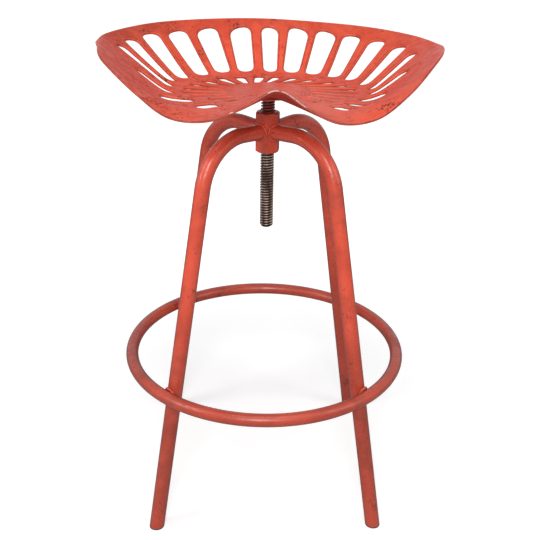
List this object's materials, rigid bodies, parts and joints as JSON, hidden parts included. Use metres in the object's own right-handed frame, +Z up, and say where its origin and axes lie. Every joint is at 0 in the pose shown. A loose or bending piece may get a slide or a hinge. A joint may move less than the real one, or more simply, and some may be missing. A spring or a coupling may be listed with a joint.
{
  "type": "tractor seat stool",
  "caption": "Height-adjustable stool: dished, slotted steel seat on a threaded rod, hexagon hub, bent tube legs and a round footrest.",
  "frame": {"origin": "on the floor, on the axis of the screw, midway between the four feet", "axes": "+Z up along the screw; -Y towards the front, where the seat's pommel is; +X to the right as seen from the front"},
  "size_m": [0.4816, 0.4342, 0.6959],
  "materials": {
    "seat_paint": "orange-red paint with a soft sheen, dark specks and chipped edges",
    "frame_paint": "orange-red paint, duller, with brushed smudges",
    "bare_steel": "dark, oiled bare thread",
    "black_plastic": "matt black moulding"
  },
  "bodies": {
    "frame": {"hub_nut": "frame_paint", "leg_front_left": "frame_paint", "leg_front_right": "frame_paint", "leg_back_left": "frame_paint", "leg_back_right": "frame_paint", "hub_weld_front": "frame_paint", "hub_weld_back": "frame_paint", "hub_weld_left": "frame_paint", "hub_weld_right": "frame_paint", "footrest_ring": "frame_paint", "ring_weld_front_left": "frame_paint", "ring_weld_front_right": "frame_paint", "ring_weld_back_left": "frame_paint", "ring_weld_back_right": "frame_paint", "foot_plug_front_left": "black_plastic", "foot_plug_front_right": "black_plastic", "foot_plug_back_left": "black_plastic", "foot_plug_back_right": "black_plastic"},
    "lift": {"screw_collar": "seat_paint"},
    "seat": {"seat_pan": "seat_paint", "seat_plate": "seat_paint", "plate_weld_front": "seat_paint", "plate_weld_back": "seat_paint", "plate_weld_left": "seat_paint", "plate_weld_right": "seat_paint", "height_screw": "bare_steel"}
  },
  "joints": [
    {"name": "seat_height", "type": "slide", "parent": "frame", "child": "lift", "axis": [0, 0, 1], "range_m": [-0.0121, 0.1081]},
    {"name": "seat_turn", "type": "hinge", "parent": "lift", "child": "seat", "pos_m": [0, 0, 0.6], "axis": [0, 0, 1], "range_deg": [-1080, 9720]}
  ],
  "couplings": [
    {"joint": "seat_height", "follows": "seat_turn", "m_per_rad": 0.00063662}
  ]
}
